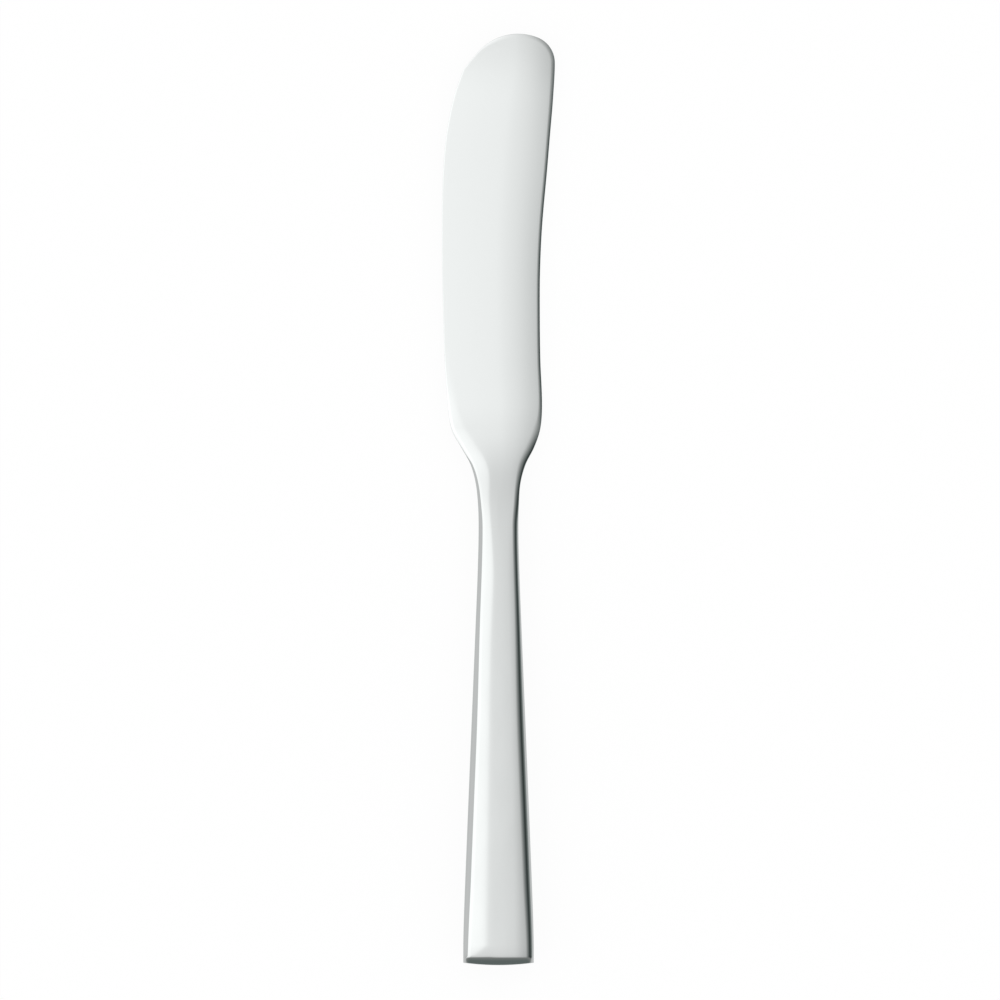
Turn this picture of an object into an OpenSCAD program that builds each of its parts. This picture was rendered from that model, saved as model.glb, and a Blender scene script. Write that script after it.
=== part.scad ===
// Butter knife with a hollow handle, lying on the back of its handle.
// The knife points along +Y, its spreading edge is at -X, its spine at +X, and Z is up.
// The origin is on the table, under the middle of the knife's length and width.
// Along the knife, places called y run from the end of the handle to the tip.

/* [Whole knife] */
// from the end of the handle to the tip of the blade
overall_length = 170; // [150:1:195]
// from the end of the handle to the joint in the neck
handle_length = 80; // [70:1:92]
// width of the neck at the joint
neck_width = 7.3; // [6.4:0.1:9]
// thickness of the neck at the joint
neck_thickness = 5.2; // [4.6:0.1:6]

/* [Handle] */
// width across the end of the handle
handle_width = 12.9; // [11:0.1:16]
// thickness of the handle at its end
handle_thickness = 7.4; // [6.4:0.1:9]
// wall of the two stamped half shells
shell_wall = 1; // [0.7:0.05:1.1]
// width of the rolled bevel along each side of the handle
side_bevel = 1.9; // [1.4:0.05:2.2]
// width of the side bevels where they narrow into the neck
neck_bevel = 1.4; // [1:0.05:1.7]
// width of the side bevels where they narrow at the end of the handle
end_side_bevel = 1.4; // [1:0.05:1.8]
// how far the side bevels fall
bevel_depth = 0.8; // [0.6:0.05:1]
// length of the bevel across the end of the handle
end_bevel = 1.5; // [1.2:0.05:2.4]
// how far the bevel across the end falls
end_bevel_depth = 1; // [0.7:0.05:1.2]
// how far the end bows out past its corners
end_bow = 0.65; // [0.3:0.05:0.9]
// rise of the crowned faces at the end of the handle
face_crown = 0.35; // [0.2:0.05:0.6]
// depth that is ground off the crown of the back, to rest on
rest_flat = 0.04; // [0.02:0.01:0.08]

/* [Blade] */
// width from the furthest place of the edge to the furthest place of the spine
blade_width = 20.6; // [18:0.1:24]
// length of the neck and shoulders, from the joint to the heel
shoulder_length = 20; // [16:0.5:24]
// from the middle line to the edge at the heel
heel_edge_reach = 9.03; // [7.6:0.01:9.8]
// from the middle line to the spine at the heel
heel_spine_reach = 7.9; // [7:0.01:8.6]
// greatest thickness of the blade
blade_thickness = 1.6; // [1.3:0.05:2.2]
// thickness of the faces along the spreading edge
edge_side_thickness = 1.3; // [1:0.05:1.5]
// thickness left at the rim, all round the blade
rim_thickness = 0.5; // [0.3:0.05:0.7]
// width over which the faces roll over to the rim
rim_roll = 0.6; // [0.4:0.05:0.9]
// radius of the round tip
tip_radius = 9.8; // [8.6:0.1:11.5]
// from the middle line to the furthest place of the tip
tip_offset = 3.6; // [3:0.1:4.4]
// radius of the corner between tip and spine
spine_corner_radius = 5; // [4:0.1:6]
// length of the straight stretch between tip and edge
clip_length = 3.9; // [2.5:0.1:5]

/* [Tang and joints] */
// length of the tang inside the handle
tang_length = 46; // [30:1:56]
// room for cement on either side of the tang, at the neck
tang_side_room = 0.75; // [0.6:0.05:1]
// room for cement above and below the tang, at the neck
tang_face_room = 0.7; // [0.6:0.05:0.8]
// width of the tang at its end
tang_end_width = 2.6; // [2:0.1:3]
// thickness of the braze in the joints
braze_gap = 0.12; // [0.08:0.01:0.2]

/* [Hidden] */
// slant of the clip, from the line across the knife
clip_angle = 50;
// overrun of every cut
over = 1;
// step over which slopes of the outline are measured
slope_step = 1;
// rings and points of the lofts
tip_rings = 9;
clip_rings = 3;
blade_rings = 15;
shoulder_rings = 13;
handle_rings = 9;
end_rings = 2;
face_points = 10;
bevel_points = 3;

// how far the handle has widened, from the neck to its end: [share of its length, share of the widening]
taper_shares = [[0, 1], [0.05, 1], [0.12, 0.95], [0.28, 0.775], [0.53, 0.485], [0.79, 0.18], [0.9, 0.06],
    [1, 0]];
// the shoulders: [share of their length, share of the way from the neck to the heel]
edge_shoulder_shares = [[0, 0], [0.2, 0.02], [0.4, 0.1], [0.57, 0.275], [0.72, 0.58], [0.86, 0.875],
    [1, 1]];
spine_shoulder_shares = [[0, 0], [0.2, 0.02], [0.4, 0.09], [0.57, 0.31], [0.72, 0.665], [0.86, 0.9],
    [1, 1]];
// the edge: [share of the way from heel to clip, share of half the blade's width]
edge_shares = [[0.08, 0.92], [0.17, 0.957], [0.3, 0.98], [0.42, 0.996], [0.52, 1], [0.62, 0.997],
    [0.72, 0.977], [0.81, 0.926], [0.88, 0.85], [0.94, 0.757]];
// the spine: [share of the way from heel to its crest, share of half the blade's width]
spine_shares = [[0.06, 0.772], [0.16, 0.745], [0.28, 0.735], [0.41, 0.739], [0.54, 0.776], [0.7, 0.865],
    [0.8, 0.917], [0.9, 0.969], [1, 1]];
// where the blade is thickest across its width, and how far it thins again towards the spine
ridge_share = 0.58;
spine_thinning_share = 0.3;
// how the bevels roll over: 1 is a flat slant and 2 steepens evenly outwards
side_roll = 2;
rim_edge_roll = 1.6;
end_roll = 1.2;
// where the side bevels of the handle reach their full width, and where they start to narrow again
bevel_growth_share = 0.18;
bevel_narrowing_share = 0.5;
// least share of the hollow's height that stands upright at its sides
hollow_side_share = 0.3;
// the tip's last facet is cut off square, at this share of its radius
tip_cut_share = 0.0024;

neck_half = neck_width / 2;
blade_half = blade_width / 2;
end_half_thickness = handle_thickness / 2;
tilt = (handle_thickness - neck_thickness) / 2 / handle_length;
tang_width = neck_width - 2 * (shell_wall + tang_side_room);
tang_thickness = neck_thickness - 2 * (shell_wall + tang_face_room);
heel_y = handle_length + shoulder_length;
tip_centre_y = overall_length - tip_radius;
clip_top_y = tip_centre_y + tip_radius * cos(clip_angle);
clip_top_x = tip_offset - tip_radius * sin(clip_angle);
clip_y = clip_top_y - clip_length * sin(clip_angle);
clip_x = clip_top_x - clip_length * cos(clip_angle);
corner_x = blade_half - spine_corner_radius;
crest_y = tip_centre_y + sqrt(pow(tip_radius - spine_corner_radius, 2) - pow(corner_x - tip_offset, 2));
corner_top_y = tip_centre_y + (crest_y - tip_centre_y) * tip_radius / (tip_radius - spine_corner_radius);

function mix(a, b, t) = a + (b - a) * t;
function clamp(t) = max(0, min(1, t));
function ease(t) = let (u = clamp(t)) u * u * (3 - 2 * u);

// A smooth line through a table of [place, value]: it starts level and ends at the slope last.
function step_slope(t, i) = (t[i + 1][1] - t[i][1]) / (t[i + 1][0] - t[i][0]);
function slope(t, i, last) = i == 0 ? 0 : i == len(t) - 1 ? last
    : (t[i + 1][1] - t[i - 1][1]) / (t[i + 1][0] - t[i - 1][0]);
function span(t, y, i = 0) = i == len(t) - 2 || y < t[i + 1][0] ? i : span(t, y, i + 1);
function along(t, y, last = 0) = let (i = span(t, y), run = t[i + 1][0] - t[i][0], u = (y - t[i][0]) / run,
    a = slope(t, i, last) * run, b = slope(t, i + 1, last) * run, rise = t[i + 1][1] - t[i][1])
    t[i][1] + u * (a + u * (3 * rise - 2 * a - b + u * (a + b - 2 * rise)));

// The outline: how far the edge and the spine lie from the middle line.
edge_line = concat(
    [for (p = edge_shoulder_shares)
        [handle_length + p[0] * shoulder_length, mix(neck_half, heel_edge_reach, p[1])]],
    [for (p = edge_shares) [mix(heel_y, clip_y, p[0]), p[1] * blade_half]],
    [[clip_y, -clip_x]]);
spine_line = concat(
    [for (p = spine_shoulder_shares)
        [handle_length + p[0] * shoulder_length, mix(neck_half, heel_spine_reach, p[1])]],
    [for (p = spine_shares) [mix(heel_y, crest_y, p[0]), p[1] * blade_half]]);
edge_end_slope = step_slope(edge_line, len(edge_line) - 2);

function handle_half(y) = mix(neck_half, handle_width / 2, along(taper_shares, y / handle_length));
function circle_half(y, centre, r) = sqrt(max(0, r * r - pow(y - centre, 2)));
function tip_half(y) = let (end_y = overall_length - tip_cut_share * tip_radius)
    circle_half(min(y, end_y), tip_centre_y, tip_radius);
function edge_reach(y) = y < handle_length ? handle_half(y)
    : y < clip_y ? along(edge_line, y, edge_end_slope)
    : y < clip_top_y ? -mix(clip_x, clip_top_x, (y - clip_y) / (clip_top_y - clip_y))
    : tip_half(y) - tip_offset;
function spine_reach(y) = y < handle_length ? handle_half(y)
    : y < crest_y ? along(spine_line, y)
    : y < corner_top_y ? corner_x + circle_half(y, crest_y, spine_corner_radius)
    : tip_offset + tip_half(y);

// The middle plane of the knife sinks with the handle's taper, and levels out over the shoulders.
function sink(y) = let (u = max(0, min(y - handle_length, shoulder_length)))
    tilt * (min(y, handle_length) + u - u * u / 2 / shoulder_length);
function mid_z(y) = end_half_thickness - rest_flat - sink(y);

// Half the thickness of the faces, at the share u of the way from edge to spine.
function bladeness(y) = ease((y - handle_length) / shoulder_length);
function handle_face(u, y, half) = end_half_thickness - sink(y)
    - face_crown * half / handle_width * 2 * pow(2 * u - 1, 2);
function blade_face(u) = u < ridge_share
    ? blade_thickness / 2 - (blade_thickness - edge_side_thickness) / 2 * pow(1 - u / ridge_share, 1.5)
    : blade_thickness / 2 * (1 - spine_thinning_share * pow((u - ridge_share) / (1 - ridge_share), 2));
function face(u, y, half) = mix(handle_face(u, y, half), blade_face(u), bladeness(y));

// Half the thickness of the rim, where the bevels end.
function rim(u, y, half) = mix(handle_face(u, y, half) - bevel_depth, rim_thickness / 2, bladeness(y));
function bevel_width(y) = let (t = y / handle_length,
    narrowing = ease((t - bevel_narrowing_share) / (1 - bevel_narrowing_share))) y < handle_length
    ? mix(end_side_bevel, mix(side_bevel, neck_bevel, narrowing), ease(t / bevel_growth_share))
    : mix(neck_bevel, rim_roll, bladeness(y));
function roll(y) = mix(side_roll, rim_edge_roll, bladeness(y));
function rolled(q, p) = 1 - pow(1 - clamp(q), p);

// A closed solid between a front and a back sheet of points, given as rings from left to right.
module sheet_solid(front, back) {
    rows = len(front);
    count = len(front[0]);
    start = rows * count;
    quads = concat(
        [for (j = [0:rows - 2], i = [0:count - 2]) let (a = j * count + i)
            [a, a + count, a + count + 1, a + 1]],
        [for (j = [0:rows - 2], i = [0:count - 2]) let (a = start + j * count + i)
            [a, a + 1, a + count + 1, a + count]],
        [for (j = [0:rows - 2]) let (a = j * count) [a + count, a, start + a, start + a + count]],
        [for (j = [0:rows - 2]) let (a = j * count + count - 1)
            [a, a + count, start + a + count, start + a]],
        [for (i = [0:count - 2]) [i, i + 1, start + i + 1, start + i]],
        [for (i = [0:count - 2]) let (a = start - count + i) [a + 1, a, start + a, start + a + 1]]);
    polyhedron(
        points = [for (sheet = [front, back], ring = sheet, p = ring) p],
        faces = [for (q = quads, half = [[q[0], q[1], q[2]], [q[0], q[2], q[3]]]) half]);
}

// The share across the section of each point of a ring, close together in the bevels.
function ring_shares(left, right) = concat(
    [for (i = [0:bevel_points - 1]) left * pow(i / bevel_points, 1.5)],
    [for (i = [0:face_points]) mix(left, 1 - right, i / face_points)],
    [for (i = [bevel_points - 1:-1:0]) 1 - right * pow(i / bevel_points, 1.5)]);

// The blade, from the joint to the tip.
blade_ys = concat(
    [for (i = [0:shoulder_rings - 1]) mix(handle_length, heel_y, i / shoulder_rings)],
    [for (i = [0:blade_rings - 1]) mix(heel_y, clip_y, i / blade_rings)],
    [for (i = [0:clip_rings - 1]) mix(clip_y, clip_top_y, i / clip_rings)],
    [for (i = [0:tip_rings]) tip_centre_y + tip_radius * sin(mix(90 - clip_angle, 90, i / tip_rings))]);
blade_rim = concat([for (y = blade_ys) [-edge_reach(y), y]],
    [for (i = [len(blade_ys) - 1:-1:0]) [spine_reach(blade_ys[i]), blade_ys[i]]]);

function gap_to(p, a, b) = norm(a + clamp((p - a) * (b - a) / ((b - a) * (b - a))) * (b - a) - p);
function rim_gap(p) = min([for (i = [0:len(blade_rim) - 2]) gap_to(p, blade_rim[i], blade_rim[i + 1])]);

function blade_half_thickness(u, p, half) = let (low = rim(u, p[1], half))
    low + (face(u, p[1], half) - low) * rolled(rim_gap(p) / bevel_width(p[1]), roll(p[1]));
function steepness(a, b) = norm([b - a, slope_step]) / slope_step;
function blade_ring(y) = let (left = edge_reach(y), right = spine_reach(y), width = left + right,
    left_lean = steepness(edge_reach(y - slope_step), edge_reach(y)),
    right_lean = steepness(spine_reach(y - slope_step), spine_reach(y)),
    bevel = bevel_width(y) / width)
    [for (u = ring_shares(min(0.25, bevel * left_lean), min(0.25, bevel * right_lean)))
        let (p = [u * width - left, y]) [p[0], y, blade_half_thickness(u, p, width / 2)]];
blade_rings_all = [for (y = blade_ys) blade_ring(y)];

// The handle, from its end to the joint, drawn in by the wall for the hollow inside.
handle_ys = [for (i = [0:handle_rings]) mix(end_bevel, handle_length, pow(i / handle_rings, 1.3))];
function end_y(u) = end_bow * pow(2 * u - 1, 2);
function handle_point(u, y, q, wall) = let (whole = handle_half(y), half = whole - wall,
    height = face(u, y, whole) - wall, low = max(rim(u, y, whole) - wall, hollow_side_share * height),
    side = rolled((1 - abs(2 * u - 1)) * half / bevel_width(y), side_roll))
    [(2 * u - 1) * half, y, low + (height - low) * side - end_bevel_depth * (1 - rolled(q, end_roll))];
function handle_ring(y, wall) = let (edge = bevel_width(y) / 2 / (handle_half(y) - wall))
    [for (u = ring_shares(edge, edge)) handle_point(u, y, 1, wall)];
function end_ring(q) = let (edge = bevel_width(q * end_bevel) / handle_width)
    [for (u = ring_shares(edge, edge)) handle_point(u, mix(end_y(u), end_bevel, q), q, 0)];

// A sheet of [x, y, half thickness] becomes the front or back of a solid.
function placed(rings, side) = [for (ring = rings)
    [for (p = ring) [p[0], p[1] - overall_length / 2, mid_z(p[1]) + side * p[2]]]];
module loft(rings) {
    sheet_solid(placed(rings, 1), placed(rings, -1));
}
module handle_outside() {
    loft(concat([for (i = [0:end_rings - 1]) end_ring(i / end_rings)],
        [for (y = handle_ys) handle_ring(y, 0)]));
}
module handle_inside() {
    loft([for (i = [0:handle_rings])
        handle_ring(mix(end_bevel + shell_wall, handle_length, i / handle_rings), shell_wall)]);
}

// A slab along the joint between the half shells, from the height low to the height high above it.
module along_seam(low, high) {
    translate([0, -overall_length / 2, end_half_thickness - rest_flat])
        rotate([-atan(tilt), 0, 0])
            translate([-handle_width, -over, low])
                cube([2 * handle_width, handle_length + 2 * over, high - low]);
}
// A slab across the handle between two places along it.
module across_handle(from, to) {
    translate([-handle_width, from - overall_length / 2, -handle_thickness])
        cube([2 * handle_width, to - from, 3 * handle_thickness]);
}
module handle_wall() {
    difference() {
        handle_outside();
        handle_inside();
    }
}

// The tang is a flat, tapered tongue with a blunt point, in the middle plane of the handle.
module tang(clearance) {
    y0 = handle_length - tang_length;
    y1 = y0 + tang_end_width;
    translate([0, -overall_length / 2, end_half_thickness - rest_flat])
        rotate([-atan(tilt), 0, 0])
            translate([0, 0, -tang_thickness / 2])
                linear_extrude(tang_thickness)
                    polygon([[-tang_end_width / 4, y0], [tang_end_width / 4, y0],
                        [tang_end_width / 2, y1], [tang_width / 2, handle_length + clearance],
                        [-tang_width / 2, handle_length + clearance], [-tang_end_width / 2, y1]]);
}

// What lies above the table: the crown of the back is ground off flat here.
module above_table() {
    translate([-blade_width, -overall_length, 0])
        cube([2 * blade_width, 2 * overall_length, 2 * handle_thickness]);
}

module blade() {
    color([0.86, 0.87, 0.87])
        intersection() {
            union() {
                loft(blade_rings_all);
                tang(over);
            }
            above_table();
        }
}

module handle_front_shell() {
    color([0.84, 0.85, 0.85])
        intersection() {
            handle_wall();
            along_seam(braze_gap / 2, handle_thickness);
            across_handle(-over, handle_length - braze_gap);
        }
}

module handle_back_shell() {
    color([0.84, 0.85, 0.85])
        intersection() {
            handle_wall();
            along_seam(-handle_thickness, -braze_gap / 2);
            across_handle(-over, handle_length - braze_gap);
            above_table();
        }
}

module handle_braze() {
    color([0.8, 0.8, 0.76])
        intersection() {
            handle_wall();
            union() {
                along_seam(-braze_gap / 2, braze_gap / 2);
                across_handle(handle_length - braze_gap, handle_length);
            }
            above_table();
        }
}

module handle_cement() {
    color([0.62, 0.6, 0.56])
        difference() {
            handle_inside();
            tang(over);
        }
}

blade();
handle_front_shell();
handle_back_shell();
handle_braze();
handle_cement();
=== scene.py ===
"""A butter knife with a hollow handle, lying on the back of its handle on a pale floor.

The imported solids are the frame. Over them stand smooth surfaces from the same outline and the same
thickness formulas: the blade with its neck and hidden tang, the two half shells of the handle and the
line of braze between them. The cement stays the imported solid. Lengths are in millimetres in the
classes, and become metres where a point is placed. Places called y run from the end of the handle to
the tip, and shares called u run across the knife, from the side of the edge to that of the spine.
"""

import logging
import math
from dataclasses import dataclass
from enum import Enum

import bmesh
import bpy
import numpy as np
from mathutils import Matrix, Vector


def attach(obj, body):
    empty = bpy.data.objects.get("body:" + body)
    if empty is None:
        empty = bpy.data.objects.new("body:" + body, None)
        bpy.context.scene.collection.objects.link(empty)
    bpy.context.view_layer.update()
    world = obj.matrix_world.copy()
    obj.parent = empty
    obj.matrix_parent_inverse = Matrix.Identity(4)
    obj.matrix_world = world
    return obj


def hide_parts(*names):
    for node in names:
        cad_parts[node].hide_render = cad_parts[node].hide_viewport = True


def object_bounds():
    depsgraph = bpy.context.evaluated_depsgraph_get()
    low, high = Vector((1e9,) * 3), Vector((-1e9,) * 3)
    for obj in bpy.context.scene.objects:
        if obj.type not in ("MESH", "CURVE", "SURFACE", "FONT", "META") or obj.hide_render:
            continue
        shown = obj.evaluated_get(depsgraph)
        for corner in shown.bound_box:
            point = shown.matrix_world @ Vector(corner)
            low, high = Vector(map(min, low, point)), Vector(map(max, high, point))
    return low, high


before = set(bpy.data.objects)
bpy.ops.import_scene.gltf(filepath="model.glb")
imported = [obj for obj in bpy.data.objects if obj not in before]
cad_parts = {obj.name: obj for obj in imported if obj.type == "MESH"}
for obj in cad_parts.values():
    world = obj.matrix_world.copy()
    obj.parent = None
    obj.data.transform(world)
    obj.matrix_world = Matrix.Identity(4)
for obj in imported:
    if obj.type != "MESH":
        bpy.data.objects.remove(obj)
cad_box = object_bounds()
log = logging.getLogger("butter_knife")

Table = tuple[tuple[float, ...], ...]
Span = tuple[float, float]
Colour = tuple[float, float, float]
Values = np.ndarray | float
Socket = bpy.types.NodeSocket

MM = 0.001
MERGE_REACH = 2e-7  # metres: points that lie closer become one
SHORTEST_EDGE = 1e-8  # metres: shorter edges are taken out
SHARP_DEGREES = 38.0  # edges that turn by more stay crisp
SEAM_PAD = ((1, 0), (1, 1))  # one row more before the first, and one column more on either side
RIGHT_ANGLE = 90.0


class Side(Enum):
    """The half of the handle that a shell covers: the one seen, or the one that the knife lies on."""

    FRONT = 1
    BACK = -1


class Slot(Enum):
    """The record's material slot names, which the pieces here are not given."""

    BLADE = "blade_steel"
    HANDLE = "handle_steel"
    BRAZE = "silver_braze"


def mix(a: Values, b: Values, t: Values) -> Values:
    """The value at the share t of the way from a to b."""
    return a + (b - a) * t


def ease(t: Values) -> Values:
    """A share that starts and ends level: t squared times (3 - 2t), with t held between 0 and 1."""
    u = np.clip(t, 0.0, 1.0)
    return u * u * (3.0 - 2.0 * u)


def smooth_line(table: Table | np.ndarray, at: Values, last: float = 0.0,
                column: int = 1) -> np.ndarray:
    """A smooth curve through a table of places and values.

    Each step is a cubic between two entries. Its slope at an entry is the slope of the chord between
    that entry's neighbours. The curve starts level and ends at the slope last.

    Args:
        table: rows of a place and one or more values, in rising order of place.
        at: the places to read.
        last: the slope at the last entry.
        column: which of a row's values to read.

    Returns:
        The value at each place.
    """
    rows = np.asarray(table, float)
    x, v = rows[:, 0], rows[:, column]
    slope = np.zeros_like(v)
    slope[1:-1] = (v[2:] - v[:-2]) / (x[2:] - x[:-2])
    slope[-1] = last
    i = np.clip(np.searchsorted(x, at, side="right") - 1, 0, len(x) - 2)
    run = x[i + 1] - x[i]
    u = (at - x[i]) / run
    a, b, rise = slope[i] * run, slope[i + 1] * run, v[i + 1] - v[i]
    return v[i] + u * (a + u * (3 * rise - 2 * a - b + u * (a + b - 2 * rise)))


def edge_round(gap: np.ndarray, radius: Values) -> np.ndarray:
    """How far a rounded rim has fallen: a quarter circle, which levels out one radius from the rim.

    The fall is the radius, less the root of its square less the square of (radius - gap).

    Args:
        gap: distances from the rim.
        radius: the quarter circle's radius.

    Returns:
        The fall at each distance.
    """
    r = np.asarray(radius, float)
    inside = np.clip(r - gap, 0.0, None)
    return r - np.sqrt(np.clip(r * r - inside * inside, 0.0, None))


def quarter_steps(count: int) -> np.ndarray:
    """Shares 1 - cos of even angles up to a right angle, which space points evenly round a corner."""
    return 1.0 - np.cos(np.linspace(0.0, math.pi / 2, count))


def band_gaps(radius: np.ndarray, width: np.ndarray, corner_columns: int, bevel_columns: int,
              crowding: float) -> np.ndarray:
    """Where a band's columns stand: spaced evenly round the corner, then crowded towards the rim.

    Args:
        radius: radius of the rounded corner, one for each row.
        width: width of the bevel behind it, one for each row.
        corner_columns: steps round the corner.
        bevel_columns: steps over the bevel.
        crowding: the power of the even share that a column over the bevel takes.

    Returns:
        Distances from the rim, rows by columns.
    """
    beyond = np.linspace(0.0, 1.0, bevel_columns + 1)[1:] ** crowding
    radius, width = radius[:, None], width[:, None]
    corner = radius * quarter_steps(corner_columns + 1)
    return np.concatenate([corner, mix(radius, width, beyond)], axis=1)


@dataclass(frozen=True)
class Plan:
    """The knife's outline, seen square on: how far edge and spine lie from the middle line."""

    overall_length: float = 170.0
    handle_length: float = 80.0
    neck_width: float = 7.3
    handle_width: float = 12.9
    blade_width: float = 20.6
    shoulder_length: float = 20.0
    heel_edge_reach: float = 9.03
    heel_spine_reach: float = 7.9
    tip_radius: float = 9.8
    tip_offset: float = 3.6
    spine_corner_radius: float = 5.0
    clip_length: float = 3.9
    clip_angle: float = math.radians(50)
    # how far the handle has widened: share of its length, share of the widening
    taper: Table = ((0, 1), (0.05, 1), (0.12, 0.95), (0.28, 0.775), (0.53, 0.485), (0.79, 0.18),
                    (0.9, 0.06), (1, 0))
    # the shoulders: share of their length, share of the way from neck to heel
    edge_shoulder: Table = ((0, 0), (0.2, 0.02), (0.4, 0.1), (0.57, 0.275), (0.72, 0.58),
                            (0.86, 0.875), (1, 1))
    spine_shoulder: Table = ((0, 0), (0.2, 0.02), (0.4, 0.09), (0.57, 0.31), (0.72, 0.665),
                             (0.86, 0.9), (1, 1))
    # edge and spine: share of the way from the heel to the clip or the crest, share of half the width
    edge: Table = ((0.08, 0.92), (0.17, 0.957), (0.3, 0.98), (0.42, 0.996), (0.52, 1), (0.62, 0.997),
                   (0.72, 0.977), (0.81, 0.926), (0.88, 0.85), (0.94, 0.757))
    spine: Table = ((0.06, 0.772), (0.16, 0.745), (0.28, 0.735), (0.41, 0.739), (0.54, 0.776),
                    (0.7, 0.865), (0.8, 0.917), (0.9, 0.969), (1, 1))

    @property
    def heel_y(self) -> float:
        """Where the shoulders end and the blade starts."""
        return self.handle_length + self.shoulder_length

    @property
    def tip_centre_y(self) -> float:
        """The centre of the round tip, along the knife."""
        return self.overall_length - self.tip_radius

    @property
    def clip_top(self) -> Span:
        """Where the straight clip meets the round tip: across, along."""
        return (self.tip_offset - self.tip_radius * math.sin(self.clip_angle),
                self.tip_centre_y + self.tip_radius * math.cos(self.clip_angle))

    @property
    def clip_foot(self) -> Span:
        """Where the straight clip meets the edge: across, along."""
        x, y = self.clip_top
        return (x - self.clip_length * math.cos(self.clip_angle),
                y - self.clip_length * math.sin(self.clip_angle))

    @property
    def corner_x(self) -> float:
        """The centre of the corner between tip and spine, across the knife."""
        return self.blade_width / 2 - self.spine_corner_radius

    @property
    def crest_y(self) -> float:
        """Where the spine lies furthest out: the centre of the corner, along the knife."""
        reach = self.tip_radius - self.spine_corner_radius
        return self.tip_centre_y + math.sqrt(reach ** 2 - (self.corner_x - self.tip_offset) ** 2)

    @property
    def corner_top_y(self) -> float:
        """Where the spine's corner runs over into the round tip."""
        reach = self.tip_radius - self.spine_corner_radius
        return self.tip_centre_y + (self.crest_y - self.tip_centre_y) * self.tip_radius / reach

    def side_table(self, shoulder: Table, heel_reach: float, side: Table, end_y: float) -> np.ndarray:
        """The rows of place and reach along one side, from the joint past the heel.

        Args:
            shoulder: shares of the shoulder's length and of the way from neck to heel.
            heel_reach: how far the heel lies from the middle line.
            side: shares of the way from the heel to end_y and of half the blade's width.
            end_y: where the side's table ends.

        Returns:
            Rows of place and reach.
        """
        a, b = np.array(shoulder, float), np.array(side, float)
        to_heel = np.stack([self.handle_length + a[:, 0] * self.shoulder_length,
                            mix(self.neck_width / 2, heel_reach, a[:, 1])], axis=1)
        past_heel = np.stack([mix(self.heel_y, end_y, b[:, 0]),
                              b[:, 1] * self.blade_width / 2], axis=1)
        return np.concatenate([to_heel, past_heel])

    def handle_half(self, y: Values) -> np.ndarray:
        """Half the width of the handle, widening from the neck to its end by the taper's table."""
        share = smooth_line(self.taper, np.clip(y, 0.0, self.handle_length) / self.handle_length)
        return mix(self.neck_width / 2, self.handle_width / 2, share)

    def tip_half(self, y: np.ndarray) -> np.ndarray:
        """Half the chord of the tip's circle."""
        return np.sqrt(np.clip(self.tip_radius ** 2 - (y - self.tip_centre_y) ** 2, 0.0, None))

    def edge_reach(self, y: np.ndarray) -> np.ndarray:
        """From the middle line to the spreading edge.

        It runs along the handle's taper, a smooth line over shoulder and edge, the straight clip, and
        then the tip's circle.

        Args:
            y: places along the knife.

        Returns:
            The distance at each place.
        """
        foot_x, foot_y = self.clip_foot
        top_x, top_y = self.clip_top
        line = np.concatenate([
            self.side_table(self.edge_shoulder, self.heel_edge_reach, self.edge, foot_y),
            [[foot_y, -foot_x]]])
        last = (line[-1, 1] - line[-2, 1]) / (line[-1, 0] - line[-2, 0])
        side = smooth_line(line, np.clip(y, self.handle_length, foot_y), last)
        clip = -mix(foot_x, top_x, (y - foot_y) / (top_y - foot_y))
        return np.select([y < self.handle_length, y < foot_y, y < top_y],
                         [self.handle_half(y), side, clip], self.tip_half(y) - self.tip_offset)

    def spine_reach(self, y: np.ndarray) -> np.ndarray:
        """From the middle line to the spine.

        It runs along the handle's taper, a smooth line over shoulder and spine, the round corner, and
        then the tip's circle.

        Args:
            y: places along the knife.

        Returns:
            The distance at each place.
        """
        line = self.side_table(self.spine_shoulder, self.heel_spine_reach, self.spine, self.crest_y)
        side = smooth_line(line, np.clip(y, self.handle_length, self.crest_y))
        rise = self.spine_corner_radius ** 2 - (y - self.crest_y) ** 2
        corner = self.corner_x + np.sqrt(np.clip(rise, 0.0, None))
        return np.select([y < self.handle_length, y < self.crest_y, y < self.corner_top_y],
                         [self.handle_half(y), side, corner], self.tip_offset + self.tip_half(y))


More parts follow.
